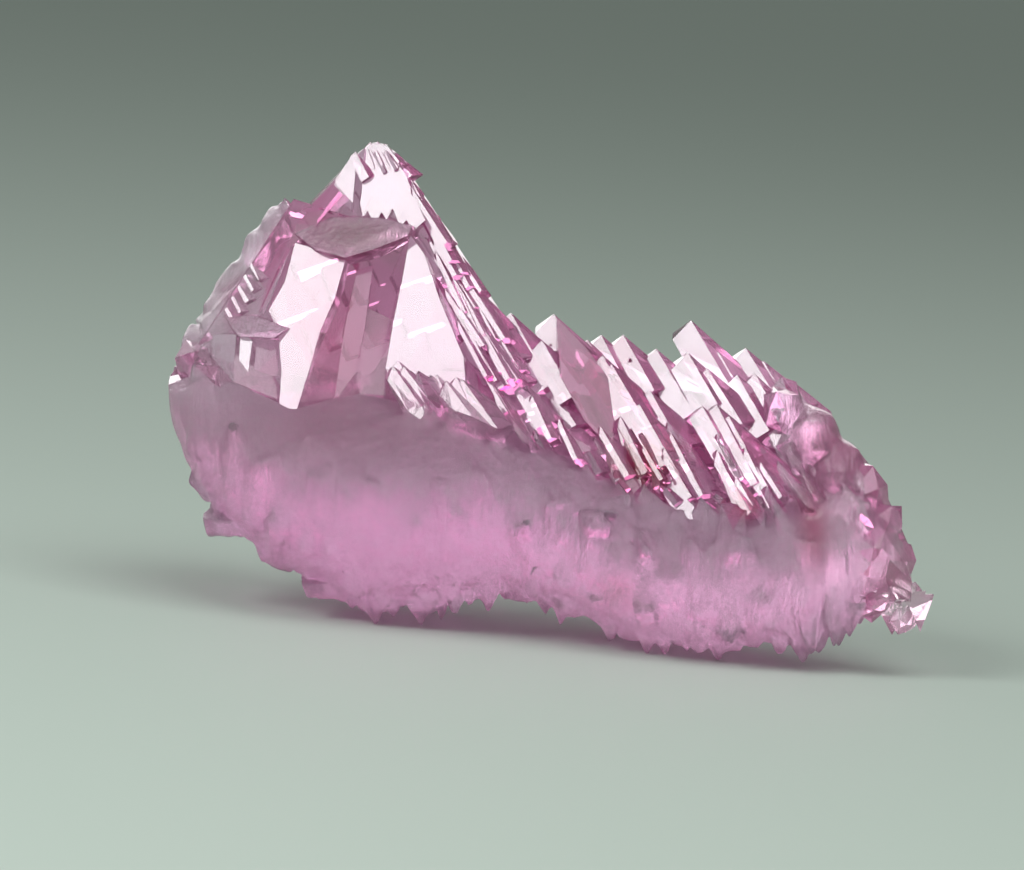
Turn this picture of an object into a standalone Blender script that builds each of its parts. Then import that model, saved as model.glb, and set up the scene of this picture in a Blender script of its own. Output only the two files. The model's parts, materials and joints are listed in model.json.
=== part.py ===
"""A kunzite crystal: pink spodumene, deeply etched, standing on the teeth of its lower edge.

The stone is drawn in millimetres on an upright sheet that faces the viewer. On the sheet, across runs
to the right, down runs downwards, and depth is negative towards the viewer. The finished stone is then
turned until it rests on its lower teeth.
"""

import math
import random

import bmesh
import bpy
from mathutils import Matrix, Vector

# Driving dimensions, in millimetres and degrees
MILLIMETRE = 0.001
SHEET_CENTRE = 54.5
SHEET_BASE = 66.2
REST_ROLL = 6.3
REST_PITCH = 6.0
FOOT_TRIM = 0.4
FOOT_SINK = 0.55
TIP_BLOCK = 60.0
GROUND_BLOCK = 150.0
FLATTEST_FOLD = 2.0
MOST_TRIANGLES = 9600

PINK = (0.76, 0.42, 0.66, 1.0)


def facing(across, depth, up):
    """The unit normal of a face that looks this way."""
    return Vector((across, depth, up)).normalized()


# The way the crystal grew: every tooth points along GROWTH and shares the same few faces
GROWTH = facing(-0.451, 0.391, 0.802)
FLASH_FACE = facing(-0.304, -0.912, 0.274)
SIDE_FACE = facing(0.447, -0.678, 0.582)
UPPER_LEFT_FACE = facing(-0.72, -0.12, 0.68)
UNDER_FACE = GROWTH.cross(FLASH_FACE) * -1
CREST_FACE = facing(0.60, 0.46, 0.65)
CORNICE_FACE = facing(-0.20, -0.71, 0.67)
BACK_GROWTH = facing(-0.40, -0.22, 0.89)
BACK_FACE = facing(0.22, 0.92, 0.33)


def on_sheet(across, down, depth):
    """The point of the model that lies at this place on the sheet."""
    return Vector((across - SHEET_CENTRE, depth, SHEET_BASE - down))


def between(rows, across, column):
    """The value in one column of a table of stations, read between the stations."""
    for left, right in zip(rows, rows[1:]):
        if across <= right[0]:
            share = max(0.0, (across - left[0]) / (right[0] - left[0]))
            return left[column] + (right[column] - left[column]) * share
    return rows[-1][column]


# The frosted body, from left to right: across, down of its shelf, down of its lower edge,
# down of its back ridge, reach towards the viewer, reach to the back
STATIONS = [
    (16.9, 38.2, 41.4, 37.6, 2.4, 3.2),
    (19.4, 37.4, 47.0, 34.0, 6.0, 7.4),
    (23.4, 38.2, 52.8, 30.5, 9.2, 10.2),
    (29.0, 40.4, 56.8, 27.0, 11.4, 12.0),
    (36.0, 39.4, 60.6, 25.5, 12.7, 12.8),
    (43.0, 39.8, 60.2, 28.0, 12.3, 13.0),
    (50.0, 42.0, 58.8, 34.0, 11.0, 12.8),
    (56.0, 45.0, 60.4, 36.5, 10.2, 12.4),
    (63.0, 49.0, 63.6, 38.0, 10.2, 12.0),
    (71.0, 50.8, 64.6, 39.5, 9.8, 11.4),
    (79.0, 50.4, 64.0, 43.0, 8.8, 10.0),
    (85.0, 49.6, 60.6, 46.0, 6.8, 7.6),
    (88.6, 51.0, 59.4, 49.0, 4.6, 5.0),
    (91.0, 55.6, 60.6, 54.6, 2.4, 2.8),
]
# Round the body's section: part of the way down from shelf to lower edge, and share of the reach
SECTION = [
    (0.00, -0.10),
    (0.12, -0.50),
    (0.28, -0.84),
    (0.50, -1.00),
    (0.72, -0.86),
    (0.90, -0.56),
    (1.00, -0.20),
    (1.00, 0.42),
    (0.90, 0.74),
    (0.60, 0.92),
    (0.25, 1.00),
    (-0.30, 0.92),
    (-0.80, 0.72),
    (-1.00, 0.46),
]


def skin(across, turn):
    """A point on the body's skin. A turn of 0 is the shelf's inner edge, 6 the front of the lower edge,
    and 10 the widest part of the back."""
    shelf = between(STATIONS, across, 1)
    edge = between(STATIONS, across, 2)
    ridge = between(STATIONS, across, 3)
    front = between(STATIONS, across, 4)
    back = between(STATIONS, across, 5)
    first = int(turn) % len(SECTION)
    share = turn - int(turn)
    fall_a, reach_a = SECTION[first]
    fall_b, reach_b = SECTION[(first + 1) % len(SECTION)]
    fall = fall_a + (fall_b - fall_a) * share
    reach = reach_a + (reach_b - reach_a) * share
    down = shelf + fall * ((edge - shelf) if fall > 0 else (shelf - ridge))
    return on_sheet(across, down, reach * (front if reach < 0 else back))


def crest_depth(across, down):
    """How deep the toothed slope above the shelf lies: it comes forwards as it goes down."""
    ridge = between(STATIONS, across, 3) - 3.0
    return 4.0 - 0.46 * (down - ridge)


# Making solids

pieces = bpy.data.collections.new("crystal_pieces")
pieces.hide_render = True


def keep_piece(mesh_builder, name):
    """Stores a closed solid as one of the pieces that the crystal is joined from."""
    bmesh.ops.recalc_face_normals(mesh_builder, faces=mesh_builder.faces)
    mesh = bpy.data.meshes.new(name)
    mesh_builder.to_mesh(mesh)
    mesh_builder.free()
    if sum(polygon.area for polygon in mesh.polygons) < 1e-9:
        bpy.data.meshes.remove(mesh)
        return None
    piece = bpy.data.objects.new(name, mesh)
    piece.hide_render = True
    piece.display_type = "WIRE"
    pieces.objects.link(piece)
    return piece


def cut_block(centre, planes, name):
    """A block that is cut by planes, each given as a point on it and its outward normal."""
    builder = bmesh.new()
    bmesh.ops.create_cube(builder, size=TIP_BLOCK, matrix=Matrix.Translation(centre))
    for point, normal in planes:
        cut = bmesh.ops.bisect_plane(
            builder,
            geom=builder.verts[:] + builder.edges[:] + builder.faces[:],
            dist=1e-5,
            plane_co=point,
            plane_no=normal,
            clear_outer=True,
        )
        edges = [item for item in cut["geom_cut"] if isinstance(item, bmesh.types.BMEdge)]
        if edges:
            bmesh.ops.holes_fill(builder, edges=edges)
    return keep_piece(builder, name)


def wobble(normal, amount, rng):
    """The normal, turned by a few degrees at random."""
    turn = Vector((rng.uniform(-1, 1), rng.uniform(-1, 1), rng.uniform(-1, 1)))
    return (normal + turn * math.radians(amount)).normalized()


def upper_tooth(tip, width, thickness, length, rng, spread=1.2):
    """A tooth that points along the growth direction, with the flash face towards the viewer."""
    flash = wobble(FLASH_FACE, spread, rng)
    side = wobble(SIDE_FACE, spread, rng)
    upper = wobble(UPPER_LEFT_FACE, spread, rng)
    cut_block(
        tip - GROWTH * length * 0.5,
        [
            (tip, flash),
            (tip, side),
            (tip, upper),
            (tip, wobble(CREST_FACE, spread * 3, rng)),
            (tip - FLASH_FACE * thickness, wobble(-FLASH_FACE, spread, rng)),
            (tip + UNDER_FACE * width, wobble(UNDER_FACE, spread, rng)),
            (tip - GROWTH * length, -GROWTH),
        ],
        "upper_tooth",
    )


def back_tooth(tip, width, thickness, length, rng, spread=4.0):
    """A tooth of the same habit on the side away from the viewer."""
    across = BACK_GROWTH.cross(BACK_FACE)
    cut_block(
        tip - BACK_GROWTH * length * 0.5,
        [
            (tip, wobble(BACK_FACE, spread, rng)),
            (tip, wobble(across * -0.8 + BACK_FACE * 0.3 + BACK_GROWTH * 0.15, spread, rng)),
            (tip, wobble(across * 0.7 + BACK_GROWTH * 0.7, spread, rng)),
            (tip - BACK_FACE * thickness, -BACK_FACE),
            (tip + across * width, across),
            (tip - BACK_GROWTH * length, -BACK_GROWTH),
        ],
        "back_tooth",
    )


def hanging_tooth(tip, width, thickness, height, rng, spread=7.0):
    """A tooth of the lower edge: it points down, and is about as wide as it is high."""
    half = width * 0.5
    left = facing(-height, 0, -half)
    right = facing(height, 0, -half)
    cut_block(
        tip + Vector((0, 0, height)),
        [
            (tip, wobble(left, spread, rng)),
            (tip, wobble(right, spread, rng)),
            (tip, wobble(facing(0.1, -1.0, -0.42), spread, rng)),
            (tip, wobble(facing(-0.1, 0.8, -0.6), spread, rng)),
            (tip + Vector((0, thickness, 0)), facing(0, 1, 0.1)),
            (tip - Vector((0, thickness, 0)), facing(0, -1, 0.1)),
            (tip + Vector((0, 0, height * 2.0)), Vector((0, 0, 1))),
        ],
        "hanging_tooth",
    )


def skin_ridge(across, turn, width, length, proud, rng):
    """A long low ridge on the frosted skin, like a roof that runs down it and narrows to both ends."""
    foot = skin(across, turn)
    along = (foot - skin(across, turn - 0.35)).normalized()
    if turn > 7:
        along.negate()
    out = Vector((1, 0, 0)).cross(along)
    if out.dot(foot - on_sheet(across, 48, 0)) < 0:
        out.negate()
    along = wobble(along, 9, rng)
    out = wobble((out - along * out.dot(along)).normalized(), 4, rng)
    side = along.cross(out).normalized()
    top = foot + out * proud
    lean = rng.uniform(0.7, 1.6)
    steep = 1.5 * proud / width
    lower = top + along * length * 0.35
    upper = top - along * length * 0.35
    cut_block(
        foot,
        [
            (top, (out + side * steep * lean).normalized()),
            (top, (out - side * steep * (2.3 - lean)).normalized()),
            (top + side * width * 0.42, (side * 0.95 + out * 0.3).normalized()),
            (top - side * width * 0.42, (side * -0.95 + out * 0.3).normalized()),
            (lower, (out * 0.35 + along * 0.75 + side * 0.6).normalized()),
            (lower, (out * 0.35 + along * 0.75 - side * 0.6).normalized()),
            (upper, (out * 0.9 - along * 0.3).normalized()),
            (upper - along * length * 0.3, along * -1),
            (foot - out * 1.6, out * -1),
        ],
        "skin_ridge",
    )


def plate(outline, through, thickness, flare=0.6, normal=FLASH_FACE, shift=(0.0, 0.0)):
    """A raised facet. Its outline of (across, down) corners is laid on the plane that has this normal
    and passes through the point (across, down, depth). Its walls widen by flare towards the back."""
    root = on_sheet(*through)
    builder = bmesh.new()
    middle = Vector((0, 0, 0))
    front = []
    for across, down in outline:
        point = on_sheet(across, down, 0)
        away = root - point
        point.y = (normal.x * away.x + normal.z * away.z) / normal.y + root.y
        front.append(point)
        middle += point / len(outline)
    back = []
    for point in front:
        out = point - middle
        out.y = 0
        stretch = 1 + flare / max(out.length, 0.5)
        place = middle + out * stretch
        back.append(Vector((place.x + shift[0], point.y + thickness, place.z - shift[1])))
    front_corners = [builder.verts.new(point) for point in front]
    back_corners = [builder.verts.new(point) for point in back]
    builder.faces.new(front_corners)
    builder.faces.new(back_corners[::-1])
    count = len(outline)
    for index in range(count):
        after = (index + 1) % count
        builder.faces.new(
            (front_corners[after], front_corners[index], back_corners[index], back_corners[after])
        )
    bmesh.ops.triangulate(builder, faces=builder.faces[:])
    keep_piece(builder, "plate")


def lump(across, down, depth, size, rng, roughness=0.18, smoothness=2):
    """A rounded lump, squashed to size = (across, depth, height)."""
    builder = bmesh.new()
    bmesh.ops.create_icosphere(builder, subdivisions=smoothness, radius=0.5)
    for vert in builder.verts:
        vert.co *= 1 + rng.uniform(-roughness, roughness)
    tilt = Matrix.Rotation(rng.uniform(-0.5, 0.5), 4, "Y")
    grow = Matrix.Diagonal((*size, 1))
    place = Matrix.Translation(on_sheet(across, down, depth)) @ tilt @ grow
    bmesh.ops.transform(builder, matrix=place, verts=builder.verts)
    keep_piece(builder, "lump")


# The frosted body: a loft of its sections, closed at both ends


def make_body():
    builder = bmesh.new()
    rings = []
    for station in STATIONS:
        rings.append([builder.verts.new(skin(station[0], turn)) for turn in range(len(SECTION))])
    for ring, following in zip(rings, rings[1:]):
        for turn in range(len(SECTION)):
            after = (turn + 1) % len(SECTION)
            builder.faces.new((ring[turn], ring[after], following[after], following[turn]))
    builder.faces.new(rings[0][::-1])
    builder.faces.new(rings[-1])
    bmesh.ops.triangulate(builder, faces=builder.faces[:])
    bmesh.ops.recalc_face_normals(builder, faces=builder.faces)
    mesh = bpy.data.meshes.new("kunzite_crystal")
    builder.to_mesh(mesh)
    builder.free()
    body = bpy.data.objects.new("kunzite_crystal", mesh)
    bpy.context.scene.collection.objects.link(body)
    return body


# The peak: a wide tooth with stepped facets on its front


def make_peak(rng):
    core = on_sheet(37.2, 14.6, 5.2)
    cut_block(
        on_sheet(36, 30, 4),
        [
            (core - FLASH_FACE * 1.1, facing(-0.12, -0.98, 0.16)),
            (on_sheet(38.9, 14.6, 5.2), UNDER_FACE * -1),
            (on_sheet(36.7, 14.2, 5.2), UPPER_LEFT_FACE),
            (on_sheet(37.2, 14.4, 5.2), facing(0.05, 0.1, 1)),
            (core - FLASH_FACE * 3.6, facing(0.10, 0.97, 0.24)),
            (on_sheet(20.2, 33.0, 3.0), facing(-0.96, -0.10, -0.26)),
            (on_sheet(36, 41.5, 0), Vector((0, 0, -1))),
        ],
        "peak_core",
    )
    left_blade = [
        (33.4, 17.6),
        (34.9, 15.4),
        (35.5, 15.2),
        (35.1, 20.9),
        (34.2, 20.2),
        (33.6, 21.4),
        (32.6, 20.8),
    ]
    plate(left_blade, (37.2, 14.6, 5.2), 4.0, flare=0.35)
    crown = [
        (36.5, 15.0),
        (37.1, 14.0),
        (38.6, 14.3),
        (40.5, 17.4),
        (42.5, 22.0),
        (41.3, 23.0),
        (40.6, 21.9),
        (40.0, 22.7),
        (39.2, 20.7),
        (38.6, 21.9),
        (38.1, 21.1),
        (37.3, 22.4),
        (36.7, 20.9),
        (36.2, 21.6),
        (35.9, 20.2),
    ]
    plate(crown, (37.2, 14.6, 5.0), 4.0, flare=0.35)
    points = [(36.9, 13.9), (37.6, 13.8), (38.3, 14.0), (39.3, 14.9), (40.2, 16.7), (35.4, 14.9)]
    for across, down in points:
        upper_tooth(on_sheet(across, down, 5.4 + rng.uniform(-0.6, 0.8)), 0.8, 1.6, 3.2, rng, 3)

    # The frosted cornice under the crown, and the two tall mirror facets that hang from it
    cornice = [
        (29.4, 23.2),
        (33.0, 21.6),
        (38.0, 21.7),
        (41.2, 22.6),
        (40.8, 23.6),
        (37.3, 25.0),
        (34.5, 25.8),
        (31.6, 25.0),
    ]
    plate(cornice, (37.2, 22.0, 1.7), 5.0, flare=0.9, normal=CORNICE_FACE)
    left_mirror = [
        (29.4, 24.2),
        (34.6, 25.7),
        (33.5, 29.8),
        (32.0, 33.2),
        (31.1, 36.6),
        (29.7, 41.2),
        (28.0, 40.4),
        (28.2, 37.0),
        (27.8, 33.4),
        (26.8, 31.0),
        (28.4, 28.2),
    ]
    plate(left_mirror, (31.0, 30.0, 0.3), 6.5, flare=0.9, shift=(0.3, 0))
    right_mirror = [
        (41.0, 23.4),
        (42.4, 25.4),
        (44.0, 30.0),
        (46.4, 35.8),
        (46.8, 40.6),
        (41.0, 40.2),
        (38.6, 37.0),
        (39.4, 32.0),
        (40.3, 27.6),
    ]
    plate(right_mirror, (41.0, 30.0, -1.3), 8.0, flare=0.9, shift=(0.2, 0))
    recess_blade = [(35.6, 27.0), (37.2, 26.4), (36.4, 33.0), (35.0, 39.6), (33.4, 40.4), (34.4, 33.0)]
    plate(recess_blade, (35.4, 33.0, 1.0), 4.4, flare=0.4, normal=facing(0.22, -0.93, 0.26))

    # The darker facets at the left of the peak, with their own small cornice
    flank = [
        (33.2, 18.2),
        (34.2, 19.4),
        (30.6, 23.4),
        (29.0, 24.6),
        (26.4, 31.2),
        (25.2, 31.8),
        (21.4, 32.2),
        (26.6, 25.4),
    ]
    plate(flank, (30.0, 24.0, 3.2), 3.0, flare=0.3, normal=facing(-0.52, -0.80, 0.30))
    small_cornice = [(22.2, 31.4), (25.6, 31.6), (28.9, 32.8), (27.4, 33.8), (23.8, 33.6)]
    plate(small_cornice, (25.5, 32.5, 1.2), 5.2, flare=0.8, normal=CORNICE_FACE)
    sliver = [(24.0, 33.2), (25.2, 34.0), (24.5, 39.6), (23.7, 39.0)]
    plate(sliver, (24.5, 36.0, 0.6), 6.0, flare=0.4)
    right_panel = [(25.6, 33.8), (27.4, 33.8), (28.2, 40.6), (25.2, 39.8)]
    plate(right_panel, (26.5, 36.0, 0.9), 6.0, flare=0.4, normal=facing(0.10, -0.95, 0.30))
    left_panel = [(21.2, 33.4), (23.6, 33.4), (23.2, 38.6), (20.4, 37.4)]
    plate(left_panel, (22.0, 35.0, 1.6), 5.4, flare=0.6, normal=facing(-0.40, -0.85, 0.34))
    for step in range(5):
        across = 25.0 - 0.62 * step
        upper_tooth(on_sheet(across, 26.2 + 1.1 * step, 3.6 - 0.1 * step), 0.34, 1.2, 2.0, rng, 2)


# The teeth of the long slope: across and down of the tip, width, thickness, length, and how far it
# stands out of the slope
SLOPE_TEETH = [
    (40.8, 18.8, 1.2, 1.4, 4.0, 0.6),
    (41.6, 21.2, 1.3, 1.4, 5.0, 0.8),
    (42.5, 23.6, 1.4, 1.6, 7.5, 1.1),
    (43.0, 27.2, 0.9, 2.0, 7.5, 1.6),
    (44.0, 27.0, 0.9, 2.0, 8.5, 1.9),
    (44.9, 25.9, 1.4, 2.4, 9.0, 1.3),
    (46.5, 28.6, 1.7, 2.6, 8.0, 1.0),
    (47.8, 29.6, 1.8, 2.6, 8.0, 0.7),
    (49.4, 30.4, 1.6, 2.6, 7.0, 0.5),
    (47.4, 33.0, 2.2, 3.6, 7.0, 2.4),
    (44.8, 34.4, 2.6, 3.4, 7.0, 2.2),
    (41.4, 36.4, 1.6, 2.6, 4.0, 1.7),
    (39.9, 36.1, 1.3, 2.4, 4.0, 1.6),
    (51.1, 31.2, 2.0, 4.4, 9.0, 0.7),
    (52.4, 38.2, 1.4, 3.0, 5.0, 2.6),
    (55.4, 31.3, 2.6, 6.4, 9.5, 1.0),
    (54.2, 34.0, 1.8, 3.6, 7.0, 1.9),
    (57.2, 33.6, 1.5, 3.0, 6.0, 0.2),
    (58.8, 33.9, 1.4, 2.8, 6.0, 0.1),
    (60.2, 33.4, 1.5, 2.8, 6.0, 0.0),
    (60.3, 35.5, 1.6, 3.6, 6.0, 1.2),
    (62.4, 33.4, 1.8, 4.2, 7.0, 0.4),
    (61.2, 36.4, 2.6, 4.0, 7.0, 1.7),
    (63.9, 40.4, 1.9, 3.2, 7.0, 2.3),
    (65.7, 34.8, 2.1, 4.0, 8.0, 0.6),
    (65.0, 39.0, 2.0, 3.4, 7.0, 1.4),
    (69.3, 31.9, 2.6, 5.0, 9.0, 0.4),
    (68.9, 35.2, 2.6, 4.0, 6.5, 1.6),
    (70.8, 36.8, 2.7, 4.0, 7.0, 1.8),
    (70.2, 40.6, 1.8, 3.8, 9.0, 2.8),
    (71.6, 40.4, 1.4, 3.8, 9.5, 3.2),
    (72.8, 41.6, 1.3, 3.6, 9.0, 3.5),
    (72.0, 35.1, 1.9, 3.8, 7.0, 0.4),
    (73.8, 37.4, 2.4, 4.0, 7.0, 1.6),
    (75.6, 37.3, 2.0, 3.8, 8.0, 1.8),
    (74.8, 34.7, 1.9, 3.8, 7.0, 0.2),
    (76.6, 36.0, 1.7, 3.4, 6.0, 0.2),
    (77.3, 38.9, 2.5, 3.8, 8.5, 1.7),
    (78.4, 37.6, 1.9, 2.2, 6.0, 0.3),
    (79.6, 38.1, 1.8, 2.0, 6.0, 0.3),
    (79.6, 41.0, 2.2, 3.4, 7.0, 1.0),
    (64.4, 48.5, 2.6, 3.2, 5.5, 1.6),
    (67.6, 47.6, 2.0, 3.2, 6.0, 1.6),
    (69.2, 49.6, 2.2, 3.0, 4.5, 1.6),
    (72.6, 50.0, 2.4, 3.0, 4.0, 1.4),
    (81.8, 46.6, 2.4, 3.2, 5.0, 1.4),
    (86.4, 50.2, 2.6, 3.0, 5.0, 1.2),
]


def make_slope(rng):
    for across, down, width, thickness, length, proud in SLOPE_TEETH:
        depth = crest_depth(across, down) - proud
        upper_tooth(on_sheet(across, down, depth), width, thickness, length, rng)

    # The plain slab at the right of the second tall tooth
    slab = [
        (55.7, 31.8),
        (58.8, 35.0),
        (61.6, 38.8),
        (64.2, 44.2),
        (61.6, 45.4),
        (58.4, 42.0),
        (56.0, 37.6),
    ]
    plate(slab, (59.0, 38.0, 0.2), 5.0, flare=0.5, normal=facing(0.42, -0.84, 0.34))

    # Small teeth between the large ones, in rows that follow the slope
    for row in range(4):
        for step in range(9):
            across = 46.5 + step * 4.0 + row * 1.4 + rng.uniform(-1.0, 1.0)
            ridge = between(STATIONS, across, 3) - 1.0
            shelf = between(STATIONS, across, 1)
            down = ridge + (shelf - ridge) * (0.14 + 0.23 * row) + rng.uniform(-0.8, 0.8)
            depth = crest_depth(across, down) - rng.uniform(0.1, 1.1)
            upper_tooth(on_sheet(across, down, depth), rng.uniform(0.9, 1.9), 2.6, 4.5, rng, 11)


# The frosted second ridge that stands behind the left edge of the peak

BACK_RIDGE = [
    (27.4, 22.6, 10.6, 4.2, 7.0, 6.0),
    (25.4, 25.0, 11.2, 4.6, 7.5, 6.5),
    (23.4, 28.0, 11.0, 4.8, 7.5, 6.5),
    (21.6, 31.4, 10.0, 4.8, 7.5, 6.5),
    (19.9, 35.0, 7.6, 5.0, 8.0, 6.0),
    (18.6, 38.6, 5.0, 4.4, 8.0, 6.6),
    (19.4, 36.6, 1.6, 4.2, 6.0, 6.0),
    (18.8, 41.0, 0.8, 4.0, 7.0, 7.0),
]


def make_back_ridge(rng):
    for across, down, depth, wide, deep, high in BACK_RIDGE:
        lump(across, down, depth, (wide, deep, high), rng, 0.13, 1)
    for step in range(16):
        across = 28.0 - step * 0.66
        down = 19.6 + step * 1.16 + rng.uniform(-0.4, 0.4)
        depth = 11.0 - 0.02 * step * step + rng.uniform(-1.2, 1.2)
        upper_tooth(on_sheet(across, down, depth), rng.uniform(0.9, 1.7), 2.2, 4.0, rng, 8)
    cut_block(
        on_sheet(32, 36, 9),
        [
            (on_sheet(28.8, 20.8, 9.0), facing(-0.84, 0.06, 0.54)),
            (on_sheet(28.8, 20.8, 9.0), facing(0.30, 0.25, 0.92)),
            (on_sheet(28.8, 22.0, 12.0), facing(-0.05, 0.99, 0.06)),
            (on_sheet(33, 24, 4), facing(0, -1, 0.1)),
            (on_sheet(44, 30, 9), facing(0.94, 0.2, 0.28)),
            (on_sheet(19.2, 35, 9), facing(-0.98, 0, -0.2)),
            (on_sheet(30, 47, 5), Vector((0, 0, -1))),
        ],
        "back_core",
    )


# The right end: pink rounded lumps that thin out into a colourless glassy tail

END_LUMPS = [
    (81.6, 43.6, 0.6, 5.4, 8.0, 6.6),
    (84.0, 47.0, 0.4, 6.0, 8.6, 7.0),
    (86.2, 49.4, 0.2, 4.8, 7.4, 7.6),
    (84.6, 52.6, -3.4, 5.8, 5.6, 7.2),
    (87.4, 53.6, -0.8, 4.8, 6.4, 7.6),
    (89.4, 57.2, -0.2, 3.9, 4.8, 6.2),
    (90.6, 61.0, 0.0, 3.0, 3.4, 5.2),
    (87.4, 59.2, -0.6, 4.4, 5.0, 6.0),
    (78.4, 40.8, 1.2, 4.8, 7.0, 5.4),
]


def make_right_end(rng):
    for across, down, depth, wide, deep, high in END_LUMPS:
        lump(across, down, depth, (wide, deep, high), rng)
    fan = [(84.4, 49.4), (86.8, 50.8), (88.8, 53.0), (87.4, 55.4), (85.6, 53.4), (84.0, 52.0)]
    plate(fan, (86.4, 52.6, -4.4), 3.4)
    blade = [(82.6, 55.4), (84.0, 56.0), (84.4, 59.6), (83.2, 64.2), (82.2, 62.0)]
    plate(blade, (83.2, 60.0, -6.6), 3.2, flare=0.5, normal=facing(0.30, -0.93, -0.12))
    for across, down in [(92.0, 63.2), (90.6, 62.9), (89.2, 63.5), (87.9, 60.9)]:
        hanging_tooth(on_sheet(across, down, rng.uniform(-0.6, 0.8)), 1.8, 1.6, 1.9, rng)


# The jagged lower edge: across and down of the tips that show in front, with the width of each

EDGE_TEETH = [
    (20.3, 48.6, 1.2),
    (21.9, 52.0, 1.3),
    (24.9, 54.2, 1.6),
    (27.4, 55.9, 1.6),
    (29.2, 57.2, 1.7),
    (31.2, 58.7, 1.6),
    (33.4, 60.0, 1.7),
    (35.4, 61.2, 1.5),
    (37.6, 62.6, 2.4),
    (39.4, 62.0, 1.2),
    (42.2, 62.6, 2.0),
    (44.2, 62.3, 2.0),
    (46.9, 60.6, 1.3),
    (48.7, 61.3, 1.9),
    (50.6, 59.8, 1.4),
    (52.7, 60.7, 1.5),
    (54.6, 61.8, 1.6),
    (56.0, 62.9, 2.2),
    (58.0, 61.6, 1.6),
    (60.9, 64.2, 1.8),
    (62.4, 64.0, 1.3),
    (64.7, 65.6, 2.0),
    (66.4, 65.9, 1.9),
    (68.6, 65.4, 1.8),
    (71.8, 66.2, 2.2),
    (73.9, 65.4, 1.6),
    (75.6, 65.2, 1.6),
    (77.8, 65.6, 1.8),
    (80.1, 66.6, 2.4),
    (82.0, 65.6, 1.5),
    (83.9, 64.9, 1.8),
    (85.8, 62.6, 1.6),
]


def make_lower_edge(rng):
    for across, down, width in EDGE_TEETH:
        depth = skin(across, 6).y - 0.4 + rng.uniform(-0.5, 0.5)
        hanging_tooth(on_sheet(across, down, depth), width, width * 0.9, width * 1.05, rng)
        if width > 1.7:
            up = rng.uniform(0.7, 1.6)
            beside = on_sheet(across + rng.uniform(0.6, 1.2), down - up, depth - 1.5)
            hanging_tooth(beside, width * 0.9, 1.5, width, rng)

    # The same edge on the far side, with a few lower teeth that the stone also rests on
    for step in range(20):
        across = 24.0 + step * 3.2 + rng.uniform(-0.6, 0.6)
        edge = between(STATIONS, across, 2)
        depth = skin(across, 7).y + rng.uniform(-0.6, 1.2)
        width = rng.uniform(1.8, 3.0)
        tip = on_sheet(across, edge + rng.uniform(0.5, 1.5), depth)
        hanging_tooth(tip, width, width * 0.9, width, rng, 10)


# The feet: the lowest teeth of the edge, in front and behind, which carry the stone

FEET = [(37.6, -2.6), (64.7, -2.4), (71.8, -2.2), (42.8, 8.6), (45.4, 9.4), (61.5, 9.2), (64.0, 8.4)]


def make_feet(rng):
    for across, depth in FEET:
        top = REST_TURN @ on_sheet(across, 0, depth)
        fall = math.cos(math.radians(REST_ROLL)) * math.cos(math.radians(REST_PITCH))
        reach = (top.z - FLOOR + FOOT_SINK) / fall
        hanging_tooth(on_sheet(across, reach, depth), 3.0, 2.6, 3.4, rng, 3)
        hanging_tooth(on_sheet(across + 1.7, reach - 2.2, depth - 0.6), 2.6, 2.4, 3.0, rng, 6)


# Low ridges on the frosted skin, in front and behind


def make_skin_ridges(rng):
    for row, turn in enumerate((2.2, 3.2, 4.3, 5.3)):
        for step in range(13):
            across = 20.4 + step * 5.2 + (row % 2) * 2.6 + rng.uniform(-0.9, 0.9)
            if across > 86 or (across < 23 and turn > 5):
                continue
            size = rng.uniform(0.75, 1.35)
            skin_ridge(across, turn + rng.uniform(-0.35, 0.35), 1.7 * size, 7.4 * size, 0.36 * size, rng)
    for step in range(13):
        across = 24.0 + step * 4.9 + rng.uniform(-1.2, 1.2)
        size = rng.uniform(0.9, 1.5)
        skin_ridge(across, 6.55 + rng.uniform(-0.15, 0.15), 3.2 * size, 6.0 * size, 0.5 * size, rng)
    for row, turn in enumerate((8.5, 9.7)):
        for step in range(11):
            across = 22.0 + step * 6.0 + (row % 2) * 3.0 + rng.uniform(-1.2, 1.2)
            size = rng.uniform(0.85, 1.5)
            skin_ridge(across, turn + rng.uniform(-0.3, 0.3), 2.6 * size, 7.4 * size, 0.6 * size, rng)


# The toothed slope at the back


def make_back_slope(rng):
    for row in range(3):
        for step in range(11):
            across = 44.0 + step * 4.0 + (row % 2) * 2.0 + rng.uniform(-0.9, 0.9)
            if across > 86:
                continue
            base = skin(across, 12.9 - row * 0.75)
            tip = base + Vector((0, rng.uniform(0.6, 1.5), rng.uniform(0.8, 2.2)))
            back_tooth(tip, rng.uniform(1.6, 3.0), 3.6, rng.uniform(5.0, 7.5), rng)
    for row in range(5):
        for step in range(3 + row):
            across = 34.6 + step * 3.6 - row * 2.6 + rng.uniform(-0.8, 0.8)
            down = 17.6 + row * 4.8 + step * 1.8 + rng.uniform(-1.0, 1.0)
            if across > 49 or down > 43:
                continue
            behind = min(9.4 + 0.20 * (down - 14), 12.6) if across > 33 else 12.4
            tip = on_sheet(across, down, behind + rng.uniform(0.0, 0.9))
            length = rng.uniform(6.0, 9.0) * min(1.0, (52 - down) / 20)
            back_tooth(tip, rng.uniform(2.8, 4.8), 4.0, length, rng)


# Turning the stone until it stands, and joining it


PITCH_TURN = Matrix.Rotation(math.radians(-REST_PITCH), 4, "X")
REST_TURN = PITCH_TURN @ Matrix.Rotation(math.radians(-REST_ROLL), 4, "Y")


def lowest_of_edge():
    """The height of the lowest tooth of the front edge once the stone is turned."""
    heights = []
    for across, down, _ in EDGE_TEETH:
        tip = REST_TURN @ on_sheet(across, down, skin(across, 6).y - 0.4)
        heights.append(tip.z)
    return min(heights)


FLOOR = lowest_of_edge() + FOOT_TRIM


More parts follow.
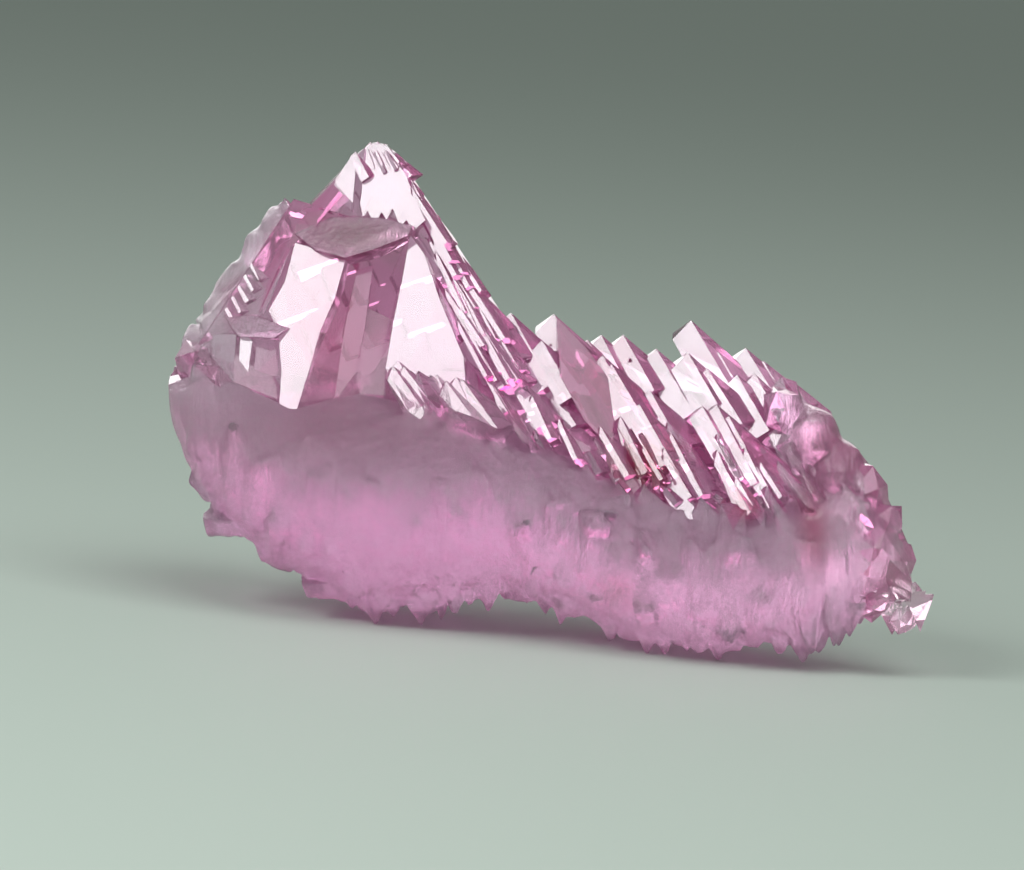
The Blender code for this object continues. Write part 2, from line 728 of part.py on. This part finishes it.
def stand_up(body):
    """Turns every piece to the stone's resting position, with the middle of its base at the origin."""
    everything = [body] + list(pieces.objects)
    low = Vector((1e9, 1e9, 1e9))
    high = -low
    for item in everything:
        item.data.transform(REST_TURN)
        for vert in item.data.vertices:
            low = Vector(map(min, low, vert.co))
            high = Vector(map(max, high, vert.co))
    middle = (low + high) * 0.5
    settle = Matrix.Scale(MILLIMETRE, 4) @ Matrix.Translation((-middle.x, -middle.y, -FLOOR))
    for item in everything:
        item.data.transform(settle)


def join(body):
    """Joins the pieces to the body and trims the lowest tips flat where the stone stands on them."""
    union = body.modifiers.new("grown_together", "BOOLEAN")
    union.operand_type = "COLLECTION"
    union.collection = pieces
    union.operation = "UNION"
    union.solver = "EXACT"
    under = bpy.data.meshes.new("ground_cut")
    builder = bmesh.new()
    place = Matrix.Translation((0, 0, -GROUND_BLOCK * MILLIMETRE / 2))
    bmesh.ops.create_cube(builder, size=GROUND_BLOCK * MILLIMETRE, matrix=place)
    builder.to_mesh(under)
    builder.free()
    ground = bpy.data.objects.new("ground_cut", under)
    ground.hide_render = True
    ground.display_type = "WIRE"
    bpy.context.scene.collection.objects.link(ground)
    trim = body.modifiers.new("resting_tips", "BOOLEAN")
    trim.object = ground
    trim.operation = "DIFFERENCE"
    trim.solver = "EXACT"


def keep_one_solid(body):
    """Makes the joins final, and fills the few pinhole bubbles left between overlapping pieces."""
    graph = bpy.context.evaluated_depsgraph_get()
    joined = bpy.data.meshes.new_from_object(body.evaluated_get(graph))
    body.modifiers.clear()
    body.data = joined
    builder = bmesh.new()
    builder.from_mesh(joined)
    waiting = set(builder.verts)
    shells = []
    while waiting:
        front = [waiting.pop()]
        shell = list(front)
        while front:
            vert = front.pop()
            for edge in vert.link_edges:
                other = edge.other_vert(vert)
                if other in waiting:
                    waiting.remove(other)
                    front.append(other)
                    shell.append(other)
        shells.append(shell)
    shells.sort(key=len)
    for shell in shells[:-1]:
        bmesh.ops.delete(builder, geom=shell, context="VERTS")
    bmesh.ops.triangulate(builder, faces=builder.faces[:])
    bmesh.ops.dissolve_limit(
        builder, angle_limit=math.radians(FLATTEST_FOLD), verts=builder.verts[:], edges=builder.edges[:]
    )
    bmesh.ops.triangulate(builder, faces=builder.faces[:])
    share = MOST_TRIANGLES / len(builder.faces)
    builder.to_mesh(joined)
    builder.free()
    if share < 1:
        thin = body.modifiers.new("fewest_slivers", "DECIMATE")
        thin.ratio = share


def kunzite_material():
    material = bpy.data.materials.new("kunzite")
    material.use_nodes = True
    shader = material.node_tree.nodes["Principled BSDF"]
    shader.inputs["Base Color"].default_value = PINK
    shader.inputs["Roughness"].default_value = 0.15
    shader.inputs["Metallic"].default_value = 0.0
    shader.inputs["IOR"].default_value = 1.66
    shader.inputs["Transmission Weight"].default_value = 0.8
    return material


def main():
    for old in list(bpy.data.objects):
        bpy.data.objects.remove(old)
    bpy.context.scene.collection.children.link(pieces)
    body = make_body()
    body.data.materials.append(kunzite_material())
    make_peak(random.Random(11))
    make_slope(random.Random(12))
    make_back_ridge(random.Random(13))
    make_right_end(random.Random(14))
    make_lower_edge(random.Random(15))
    make_feet(random.Random(16))
    make_skin_ridges(random.Random(17))
    make_back_slope(random.Random(18))
    stand_up(body)
    join(body)
    keep_one_solid(body)


main()
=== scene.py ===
"""The looks of a kunzite crystal: pink spodumene that etching left frosted, with polished growth faces.

It stands on the tips of its lower edge on a pale board, under three soft lights.
"""

import json
import math
import random

import bmesh
import bpy
from mathutils import Matrix, Vector, noise

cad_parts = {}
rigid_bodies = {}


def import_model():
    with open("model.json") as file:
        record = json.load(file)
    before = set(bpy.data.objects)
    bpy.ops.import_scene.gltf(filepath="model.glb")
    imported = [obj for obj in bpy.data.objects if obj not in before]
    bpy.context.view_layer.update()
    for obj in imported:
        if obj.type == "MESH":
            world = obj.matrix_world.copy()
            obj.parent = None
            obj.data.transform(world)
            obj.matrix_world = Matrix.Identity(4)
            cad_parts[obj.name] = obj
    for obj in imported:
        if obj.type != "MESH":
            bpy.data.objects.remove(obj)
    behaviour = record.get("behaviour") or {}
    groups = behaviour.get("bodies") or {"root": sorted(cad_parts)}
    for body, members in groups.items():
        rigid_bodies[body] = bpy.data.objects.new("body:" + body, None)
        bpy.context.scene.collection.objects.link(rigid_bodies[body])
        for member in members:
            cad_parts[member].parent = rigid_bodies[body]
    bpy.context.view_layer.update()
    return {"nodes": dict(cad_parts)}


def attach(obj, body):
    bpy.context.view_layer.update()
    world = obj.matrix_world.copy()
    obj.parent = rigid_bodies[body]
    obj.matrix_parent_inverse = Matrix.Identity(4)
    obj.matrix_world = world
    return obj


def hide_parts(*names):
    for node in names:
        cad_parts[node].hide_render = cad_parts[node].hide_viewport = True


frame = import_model()


# The camera. The stone is drawn on an upright sheet in millimetres: across to the right, down
# downwards, and depth away from the viewer. It stands rolled and pitched a little against that sheet,
# so the camera, which looks straight at the sheet, is tilted by the same amounts.

MILLIMETRE = 0.001
SHEET_CENTRE = 54.5
SHEET_BASE = 66.2
SHEET_SHIFT = Vector((1.551, -3.738, -2.247))
REST_ROLL = math.radians(6.3)
REST_PITCH = math.radians(6.0)
REST_TURN = Matrix.Rotation(-REST_PITCH, 3, "X") @ Matrix.Rotation(-REST_ROLL, 3, "Y")
PICTURE_MIDDLE = (51.2, 43.5)
PICTURE_WIDTH = 102.4
CAMERA_AWAY = 520.0
SENSOR = 36.0


def on_stone(across, down, depth):
    """The place, in metres, of a point on the sheet."""
    drawn = Vector((across - SHEET_CENTRE, depth, SHEET_BASE - down))
    return (REST_TURN @ drawn + SHEET_SHIFT) * MILLIMETRE


def on_sheet(place):
    """The sheet's (across, down, depth) of a place in metres."""
    drawn = REST_TURN.transposed() @ (place / MILLIMETRE - SHEET_SHIFT)
    return drawn.x + SHEET_CENTRE, SHEET_BASE - drawn.z, drawn.y


look_right = REST_TURN @ Vector((1, 0, 0))
look_back = REST_TURN @ Vector((0, -1, 0))
look_up = REST_TURN @ Vector((0, 0, 1))
camera_place = on_stone(*PICTURE_MIDDLE, 0) + look_back * CAMERA_AWAY * MILLIMETRE
camera_turn = Matrix((look_right, look_up, look_back)).transposed().to_4x4()
bpy.ops.object.camera_add()
camera = bpy.context.object
camera.name = "camera"
camera.matrix_world = Matrix.Translation(camera_place) @ camera_turn
camera.data.sensor_width = SENSOR
camera.data.lens = SENSOR * CAMERA_AWAY / PICTURE_WIDTH
camera.data.clip_start = 0.01
camera.data.clip_end = 50.0
bpy.context.scene.camera = camera


# The crystal. It is one piece of pink spodumene. Etching left its body frosted and fluted from top to
# bottom, while the growth faces of its slanting teeth stayed polished and flash like mirrors.
# Every tooth shares the same few faces, so they all light up together.

GROWTH = Vector((-0.451, 0.391, 0.802)).normalized()
FLASH_FACE = Vector((-0.304, -0.912, 0.274)).normalized()
CORNICE_FACE = Vector((-0.20, -0.71, 0.67)).normalized()

# The shelf between the toothed slope and the frosted body: (across, down)
SHELF = [
    (16.9, 38.2),
    (19.4, 37.4),
    (23.4, 38.2),
    (29.0, 40.4),
    (36.0, 39.4),
    (43.0, 39.8),
    (50.0, 42.0),
    (56.0, 45.0),
    (63.0, 49.0),
    (71.0, 50.8),
    (79.0, 50.4),
    (85.0, 49.6),
    (88.6, 51.0),
    (91.0, 55.6),
]

# The stone's lower edge: (across, down)
LOWER_EDGE = [
    (19.0, 49.0),
    (25.0, 54.5),
    (31.0, 58.4),
    (37.0, 61.8),
    (43.0, 61.6),
    (48.0, 60.6),
    (53.0, 60.4),
    (58.0, 62.0),
    (64.0, 64.8),
    (72.0, 65.8),
    (81.0, 65.8),
    (88.0, 62.5),
]


def along(line, across):
    """The second value of a line of pairs, read at across."""
    if across <= line[0][0]:
        return line[0][1]
    for (left, start), (right, end) in zip(line, line[1:]):
        if across <= right:
            return start + (end - start) * (across - left) / (right - left)
    return line[-1][1]


bpy.ops.object.select_all(action="DESELECT")
solid = frame["nodes"]["kunzite_crystal"]
crystal = bpy.data.objects.new("crystal", solid.data.copy())
bpy.context.scene.collection.objects.link(crystal)
bpy.context.view_layer.objects.active = crystal
crystal.select_set(True)
bpy.ops.object.mode_set(mode="EDIT")
bpy.ops.mesh.select_all(action="SELECT")
bpy.ops.mesh.remove_doubles(threshold=1e-7)
bpy.ops.object.mode_set(mode="OBJECT")

# One small tooth, from a cube: its tip is at the origin, its polished front faces -Y, its broader
# side faces right, and it points up. Copies of it crowd between the large teeth.
VIEWER_SIDE = -60.0
TIP_REACH = 0.3
TOOTH_SIZES = (0.7, 1.3)
TOOTH_TIP_CUTS = [
    (0.64, -0.77, 0.0),
    (-0.229, -0.514, 0.823),
    (0.55, 0.35, 0.76),
]

bpy.ops.object.select_all(action="DESELECT")
bpy.ops.mesh.primitive_cube_add(size=2.0, location=(0, 1, -1))
small_tooth = bpy.context.object
bpy.ops.object.transform_apply(location=True)
bpy.ops.object.mode_set(mode="EDIT")
for normal in TOOTH_TIP_CUTS:
    bpy.ops.mesh.select_all(action="SELECT")
    bpy.ops.mesh.bisect(plane_co=(0, 0, 0), plane_no=normal, use_fill=True, clear_outer=True)
bpy.ops.mesh.select_all(action="SELECT")
bpy.ops.mesh.normals_make_consistent(inside=False)
bpy.ops.object.mode_set(mode="OBJECT")

teeth = bpy.data.collections.new("small_teeth")
bpy.context.scene.collection.children.link(teeth)
ACROSS_TOOTH = GROWTH.cross(FLASH_FACE)


def add_tooth(rng, across, down, depth, width, thickness, length, stray):
    """Adds a copy of the small tooth with its tip at this place on the sheet."""
    axes = Matrix((ACROSS_TOOTH, -FLASH_FACE, GROWTH)).transposed()
    size = Matrix.Diagonal((width, thickness, length)) * MILLIMETRE
    turn = Matrix.Identity(3)
    for axis in "XYZ":
        turn = turn @ Matrix.Rotation(math.radians(rng.uniform(-stray, stray)), 3, axis)
    mesh = small_tooth.data.copy()
    tip = Matrix.Translation(on_stone(across, down, depth))
    mesh.transform(tip @ (REST_TURN @ turn @ axes @ size).to_4x4())
    teeth.objects.link(bpy.data.objects.new("small_tooth", mesh))


def surface_depth(across, down):
    """How deep the stone's front lies at this place on the sheet."""
    start = on_stone(across, down, VIEWER_SIDE)
    hit, spot, normal, index = crystal.ray_cast(start, REST_TURN @ Vector((0, 1, 0)))
    return on_sheet(spot)[2] if hit else None


def scatter_teeth(rng, places, width, thickness, length, proud, stray):
    """Sets small teeth into the front of the stone at these places.

    Proud is the least and the most that they stand out, and stray how far they turn, in degrees.
    """
    for across, down in places:
        depth = surface_depth(across, down + TIP_REACH)
        if depth is not None:
            size = rng.uniform(*TOOTH_SIZES)
            tip_depth = depth - rng.uniform(*proud)
            add_tooth(rng, across, down, tip_depth, width * size, thickness, length * size, stray)


def between_points(rng, start, end, count, spread):
    """Places strewn along a line on the sheet."""
    places = []
    for step in range(count):
        share = (step + rng.uniform(0.2, 0.8)) / count
        across = start[0] + (end[0] - start[0]) * share + rng.uniform(-spread, spread)
        down = start[1] + (end[1] - start[1]) * share + rng.uniform(-spread, spread)
        places.append((across, down))
    return places


rng = random.Random(21)
bpy.context.view_layer.update()
# slivers down the right flank of the peak: (start, end, count)
for start, end, count in [
    ((40.8, 17.5), (48.6, 31.0), 22),
    ((42.8, 23.0), (48.8, 34.0), 16),
    ((44.4, 28.5), (50.0, 39.5), 12),
]:
    line = between_points(rng, start, end, count, spread=0.35)
    scatter_teeth(rng, line, 0.4, 1.1, 3.4, proud=(0.1, 0.5), stray=4)
# needles at the peak's tip
line = between_points(rng, (36.4, 14.7), (39.6, 14.9), 9, spread=0.2)
scatter_teeth(rng, line, 0.25, 0.5, 1.0, proud=(0.05, 0.2), stray=8)
# points at the foot of the right mirror face
line = between_points(rng, (38.6, 37.0), (47.0, 37.6), 9, spread=0.7)
scatter_teeth(rng, line, 1.2, 1.6, 3.0, proud=(0.5, 1.2), stray=9)
# small teeth on the lower half of the long slope
for start, end, count in [
    ((51.5, 40.5), (83.0, 46.5), 14),
    ((52.5, 43.0), (84.0, 48.5), 16),
]:
    line = between_points(rng, start, end, count, spread=1.3)
    scatter_teeth(rng, line, 0.6, 1.1, 3.0, proud=(0.1, 0.5), stray=7)
# broad bright points at the slope's foot
line = [(64.3, 48.3), (66.9, 50.1), (69.9, 49.6)]
scatter_teeth(rng, line, 1.3, 1.3, 3.4, proud=(0.9, 1.3), stray=3)
# crumbs at the slope's foot
for start, end, count in [
    ((61.0, 47.0), (78.0, 50.5), 34),
    ((54.0, 47.0), (63.0, 53.0), 26),
]:
    line = between_points(rng, start, end, count, spread=1.4)
    scatter_teeth(rng, line, 0.7, 0.9, 1.4, proud=(0.05, 0.4), stray=30)

bpy.ops.object.select_all(action="DESELECT")
crystal.select_set(True)
bpy.context.view_layer.objects.active = crystal
grown = crystal.modifiers.new("grown_together", "BOOLEAN")
grown.operand_type = "COLLECTION"
grown.collection = teeth
grown.operation = "UNION"
grown.solver = "MANIFOLD"
bpy.ops.object.modifier_apply(modifier="grown_together")
for tooth in list(teeth.objects):
    bpy.data.objects.remove(tooth)
bpy.data.collections.remove(teeth)
bpy.data.objects.remove(small_tooth)


def nearness(normal, face):
    """The angle, in degrees, between a face's normal and a growth face, both as drawn on the sheet."""
    return math.degrees(normal.angle(face, math.pi))


# Where each kind of surface lies on the sheet, in millimetres, and how frosted it is
TAIL_START = 86.2
TAIL_FROST = 0.1
LUMPS_START = 78
LUMPS_TOP = 39.5
LUMPS_TOP_FALL = 0.2
LUMPS_FOOT = 52
LUMPS_FROST = 0.5
SHELF_LIP = 0.3
BODY_FROST = 1.0
CORNICE_STRAY = 14
CORNICE_FROST = 0.9
BACK_RIDGE_TOP = (27.5, 19.6)
BACK_RIDGE_LEAN = 0.42
BACK_RIDGE_WIDTH = 3
BACK_RIDGE_END = 28.5
BACK_RIDGE_DEPTH = 4.5
BACK_RIDGE_FROST = 0.6


def frosting(across, down, depth, normal):
    """How frosted the stone is here, from 0 where it is polished to 1, and whether it is rounded."""
    if across > TAIL_START:
        return TAIL_FROST, False
    lumps_top = LUMPS_TOP + (across - LUMPS_START) * LUMPS_TOP_FALL
    if across > LUMPS_START and lumps_top < down < LUMPS_FOOT:
        return LUMPS_FROST, True
    if down > along(SHELF, across) + SHELF_LIP:
        return BODY_FROST, True
    if nearness(normal, CORNICE_FACE) < CORNICE_STRAY:
        return CORNICE_FROST, True
    ridge_line = BACK_RIDGE_TOP[0] - (down - BACK_RIDGE_TOP[1]) * BACK_RIDGE_LEAN
    if across < min(ridge_line + BACK_RIDGE_WIDTH, BACK_RIDGE_END) and depth > BACK_RIDGE_DEPTH:
        return BACK_RIDGE_FROST, True
    return 0.0, False


# The rounded parts are cut finely, more finely across than down, then smoothed and fluted
FINEST_FROST = 0.32
LONGEST_CUT = 1.4
MOST_CUTS = 8
DOWN_STRETCH = 0.45
WORN_BELOW_SHELF = 1.0
WORN_ABOVE_EDGE = 4.5
SOFT_ABOVE_EDGE = 3.5
SHARPEST_ROUND = math.radians(38)
REST_BACK = REST_TURN.transposed()


def above_the_edge(vert):
    """How far a point lies above the stone's lower edge, in millimetres."""
    across, down, depth = on_sheet(vert.co)
    return along(LOWER_EDGE, across) - down


def drawn_length(edge):
    """An edge's length on the sheet in millimetres, with its downward part shortened."""
    run = REST_BACK @ (edge.verts[0].co - edge.verts[1].co) / MILLIMETRE
    return math.sqrt(run.x**2 + run.y**2 + (run.z * DOWN_STRETCH) ** 2)


def wear(verts, times):
    """Smooths these points this many times."""
    for step in range(times):
        bmesh.ops.smooth_vert(
            builder, verts=verts, factor=0.5, use_axis_x=True, use_axis_y=True, use_axis_z=True
        )


builder = bmesh.new()
builder.from_mesh(crystal.data)
frost_layer = builder.faces.layers.float.new("frost")
round_layer = builder.faces.layers.int.new("rounded")
worn_verts = []
for vert in builder.verts:
    across, down, depth = on_sheet(vert.co)
    if along(SHELF, across) + WORN_BELOW_SHELF < down < along(LOWER_EDGE, across) - WORN_ABOVE_EDGE:
        worn_verts.append(vert)
wear(worn_verts, 2)
builder.normal_update()
for face in builder.faces:
    across, down, depth = on_sheet(face.calc_center_median())
    level, rounded = frosting(across, down, depth, REST_BACK @ face.normal)
    face[frost_layer] = level
    face[round_layer] = rounded

for step in range(MOST_CUTS):
    long_edges = []
    for edge in builder.edges:
        if drawn_length(edge) > FINEST_FROST * LONGEST_CUT:
            if any(face[round_layer] for face in edge.link_faces):
                long_edges.append(edge)
    if not long_edges:
        break
    bmesh.ops.subdivide_edges(builder, edges=long_edges, cuts=1)
    bmesh.ops.triangulate(builder, faces=[face for face in builder.faces if len(face.verts) > 3])
frosted_verts = [vert for vert in builder.verts if all(face[round_layer] for face in vert.link_faces)]
upper_verts = [vert for vert in frosted_verts if above_the_edge(vert) > SOFT_ABOVE_EDGE]
wear(frosted_verts, 2)
wear(upper_verts, 4)
builder.normal_update()

# The size of the grooves across, in depth and down, as turns of noise in a millimetre, where their
# noise starts, and how high they stand in millimetres
BROAD_GROOVES = ((0.36, 0.2, 0.06), 0.0)
MIDDLE_GROOVES = ((0.95, 0.45, 0.14), 9.0)
FINE_GROOVES = ((2.4, 1.0, 0.35), 5.0)
SHELF_WAVES = ((0.3, 0.3, 0.9), 0.0)
BROAD_HEIGHT = 0.20
MIDDLE_HEIGHT = 0.16
FINE_HEIGHT = 0.08
WAVE_HEIGHT = 0.10
GROOVE_LEAN = 0.16
SHELF_REACH = 7.0


def relief(across, depth, down, grooves):
    """A smooth random value from -1 to 1."""
    scale, start = grooves
    return noise.noise(Vector((across * scale[0] + start, depth * scale[1], down * scale[2])))


def fluting(across, down, depth):
    """How far the etched skin stands out here, in millimetres: soft grooves that run down it."""
    lean = across - GROOVE_LEAN * down
    below = min(1.0, max(0.0, (down - along(SHELF, across) - 1.0) / SHELF_REACH))
    broad = abs(relief(lean, depth, down, BROAD_GROOVES)) * 2 - 0.5
    middle = abs(relief(lean, depth, down, MIDDLE_GROOVES)) * 2 - 0.5
    fine = relief(lean, depth, down, FINE_GROOVES)
    waves = relief(across, depth, down, SHELF_WAVES)
    grooves = BROAD_HEIGHT * broad + MIDDLE_HEIGHT * middle + FINE_HEIGHT * fine
    return below * grooves + (1 - below) * WAVE_HEIGHT * waves


moves = {}
for vert in frosted_verts:
    moves[vert] = vert.normal * fluting(*on_sheet(vert.co)) * MILLIMETRE
for vert, move in moves.items():
    vert.co += move
    vert.co.z = max(vert.co.z, 0.0)
for face in builder.faces:
    face.smooth = bool(face[round_layer])
for edge in builder.edges:
    edge.smooth = edge.calc_face_angle(0.0) < SHARPEST_ROUND
builder.to_mesh(crystal.data)
builder.free()
crystal.data.attributes.remove(crystal.data.attributes["rounded"])

# The tint of each part: the side faces are given a deeper pink than the front ones, as painted shade
# for the darker room they face.
# On that lie a few soft spots of colour, two of them grey as painted shade under ledges, each with its
# place on the sheet, its reach across and down, its colour and its strength
LILAC = (0.96, 0.80, 0.94)
SHADED_SIDE_PINK = (0.88, 0.40, 0.66)
FLASH_STRAY = 14
TINT_AND_SHADE_SPOTS = [
    ((33.0, 34.0), (3.2, 7.5), (0.95, 0.38, 0.62), 0.9),
    ((47.0, 38.0), (5.0, 6.0), (0.95, 0.50, 0.78), 0.8),
    ((60.0, 38.5), (3.6, 6.0), (0.78, 0.26, 0.50), 0.85),
    ((64.5, 46.6), (3.0, 2.2), (0.55, 0.10, 0.16), 0.95),
    # a greyish band just under the shelf: painted shade
    ((34.0, 43.0), (16.0, 4.0), (0.66, 0.50, 0.56), 0.8),
    ((36.0, 53.0), (20.0, 6.0), (0.96, 0.74, 0.94), 0.6),
    ((81.0, 52.5), (1.6, 3.8), (0.80, 0.20, 0.34), 0.85),
    ((74.2, 50.8), (1.2, 1.2), (0.90, 0.20, 0.38), 0.85),
    ((84.5, 44.5), (5.0, 5.0), (0.80, 0.30, 0.52), 0.9),
    ((61.5, 59.0), (2.0, 1.8), (0.70, 0.42, 0.50), 0.7),
    ((22.0, 29.0), (4.5, 9.0), (0.93, 0.90, 0.93), 0.9),
    ((90.0, 58.5), (3.0, 5.5), (0.96, 0.92, 0.93), 0.9),
    # a grey patch under the ledge below the bright top faces: painted shade
    ((35.5, 23.5), (5.5, 1.9), (0.66, 0.65, 0.58), 0.85),
    ((31.5, 20.0), (1.2, 2.6), (0.84, 0.30, 0.56), 0.9),
    ((27.5, 25.0), (1.2, 2.6), (0.84, 0.30, 0.56), 0.9),
    ((23.0, 30.0), (1.4, 2.4), (0.84, 0.34, 0.60), 0.8),
]
tint = crystal.data.attributes.new("tint", "FLOAT_VECTOR", "FACE")
for face, item in zip(crystal.data.polygons, tint.data):
    across, down, depth = on_sheet(face.center)
    # faces turned away from the flash face take the deeper pink, which is painted shade
    if face.use_smooth or nearness(REST_BACK @ face.normal, FLASH_FACE) < FLASH_STRAY:
        colour = Vector(LILAC)
    else:
        colour = Vector(SHADED_SIDE_PINK)
    for middle, reach, spot, strength in TINT_AND_SHADE_SPOTS:
        away = ((across - middle[0]) / reach[0]) ** 2 + ((down - middle[1]) / reach[1]) ** 2
        colour = colour.lerp(Vector(spot), strength * math.exp(-away))
    item.vector = colour

# Its material: clear pink crystal, which swallows green light on the way through
ROUGH_POLISHED = 0.05
ROUGH_FROSTED = 0.26
STREAKS_POLISHED = 0.02
STREAKS_FROSTED = 0.8
STREAK_DEPTH = 0.0010
KUNZITE_IOR = 1.66
CLEARNESS = 0.88
DEPTH_COLOUR = (0.86, 0.10, 0.60, 1)
DEPTH_DENSITY = 26.0

kunzite = bpy.data.materials.new("kunzite")
kunzite.use_nodes = True
tree = kunzite.node_tree
shader = tree.nodes["Principled BSDF"]
shader.inputs["IOR"].default_value = KUNZITE_IOR
shader.inputs["Transmission Weight"].default_value = CLEARNESS
frost_value = tree.nodes.new("ShaderNodeAttribute")
frost_value.attribute_name = "frost"
rough = tree.nodes.new("ShaderNodeMapRange")
rough.inputs["To Min"].default_value = ROUGH_POLISHED
rough.inputs["To Max"].default_value = ROUGH_FROSTED
tree.links.new(frost_value.outputs["Fac"], rough.inputs["Value"])
tree.links.new(rough.outputs["Result"], shader.inputs["Roughness"])
tint_value = tree.nodes.new("ShaderNodeAttribute")
tint_value.attribute_name = "tint"
tree.links.new(tint_value.outputs["Vector"], shader.inputs["Base Color"])

# Fine streaks run down the frosted skin: noise on the sheet's millimetres, drawn out downwards
place = tree.nodes.new("ShaderNodeTexCoord")
drawn = tree.nodes.new("ShaderNodeMapping")
drawn.inputs["Scale"].default_value = (1 / MILLIMETRE,) * 3
drawn.inputs["Rotation"].default_value = REST_BACK.to_euler()
drawn.inputs["Location"].default_value = -(REST_BACK @ SHEET_SHIFT)
tree.links.new(place.outputs["Object"], drawn.inputs["Vector"])

stretch = tree.nodes.new("ShaderNodeMapping")
stretch.inputs["Scale"].default_value = (2.6, 1.2, 0.30)
stretch.inputs["Rotation"].default_value = (0, math.radians(-9), 0)
tree.links.new(drawn.outputs["Vector"], stretch.inputs["Vector"])
streaks = tree.nodes.new("ShaderNodeTexNoise")
streaks.inputs["Scale"].default_value = 1.0
streaks.inputs["Detail"].default_value = 5.0
streaks.inputs["Roughness"].default_value = 0.62
tree.links.new(stretch.outputs["Vector"], streaks.inputs["Vector"])
streak_strength = tree.nodes.new("ShaderNodeMapRange")
streak_strength.inputs["To Min"].default_value = STREAKS_POLISHED
streak_strength.inputs["To Max"].default_value = STREAKS_FROSTED
tree.links.new(frost_value.outputs["Fac"], streak_strength.inputs["Value"])
bump = tree.nodes.new("ShaderNodeBump")
bump.inputs["Distance"].default_value = STREAK_DEPTH
tree.links.new(streaks.outputs["Fac"], bump.inputs["Height"])
tree.links.new(streak_strength.outputs["Result"], bump.inputs["Strength"])
tree.links.new(bump.outputs["Normal"], shader.inputs["Normal"])

depths = tree.nodes.new("ShaderNodeVolumeAbsorption")
depths.inputs["Color"].default_value = DEPTH_COLOUR
depths.inputs["Density"].default_value = DEPTH_DENSITY
tree.links.new(depths.outputs["Volume"], tree.nodes["Material Output"].inputs["Volume"])

crystal.data.materials.clear()
crystal.data.materials.append(kunzite)
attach(crystal, "root")
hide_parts("kunzite_crystal")


# The board it stands on, pale grey-green, and the light. One soft light hangs at the upper left, where
# the polished faces mirror it towards the camera. A broad one overhead and one behind fill the stone.

BOARD_COLOUR = (0.52, 0.61, 0.545, 1)
ROOM_COLOUR = (0.44, 0.47, 0.45, 1)
ROOM_STRENGTH = 0.5
MIRRORED_WAY = REST_TURN @ Vector((-0.555, -0.663, 0.50))

bpy.ops.object.select_all(action="DESELECT")
bpy.ops.mesh.primitive_plane_add(size=16.0)
board = bpy.context.object
board.name = "board"
board_finish = bpy.data.materials.new("pale_board")
board_finish.use_nodes = True
board_shader = board_finish.node_tree.nodes["Principled BSDF"]
board_shader.inputs["Base Color"].default_value = BOARD_COLOUR
board_shader.inputs["Roughness"].default_value = 0.6
board.data.materials.append(board_finish)

stone_middle = on_stone(52, 38, 0)


def hang_light(name, way, away, width, height, watts, beam=180):
    """Hangs a soft light in this direction from the stone, facing it."""
    way = Vector(way).normalized()
    bpy.ops.object.light_add(type="AREA")
    light = bpy.context.object
    light.name = name
    light.data.shape = "RECTANGLE"
    light.data.size = width
    light.data.size_y = height
    light.data.energy = watts
    light.data.spread = math.radians(beam)
    facing = way.to_track_quat("Z", "Y").to_matrix().to_4x4()
    light.matrix_world = Matrix.Translation(stone_middle + way * away) @ facing
    return light


hang_light("flash_light", MIRRORED_WAY, away=0.6, width=0.26, height=0.26, watts=2.0)
hang_light("overhead_light", (0.30, -0.42, 0.85), away=0.95, width=1.0, height=0.8, watts=5.0)
back_light = hang_light(
    "back_light", (-0.20, 0.90, 0.42), away=1.0, width=1.2, height=0.8, watts=2.2, beam=80
)
# the light behind reaches the stone alone, so that the board stays even
stone_only = bpy.data.collections.new("stone_only")
stone_only.objects.link(crystal)
back_light.light_linking.receiver_collection = stone_only

world = bpy.data.worlds.new("soft_room")
bpy.context.scene.world = world
world.use_nodes = True
world.node_tree.nodes["Background"].inputs["Color"].default_value = ROOM_COLOUR
world.node_tree.nodes["Background"].inputs["Strength"].default_value = ROOM_STRENGTH
bpy.context.scene.view_settings.view_transform = "Standard"
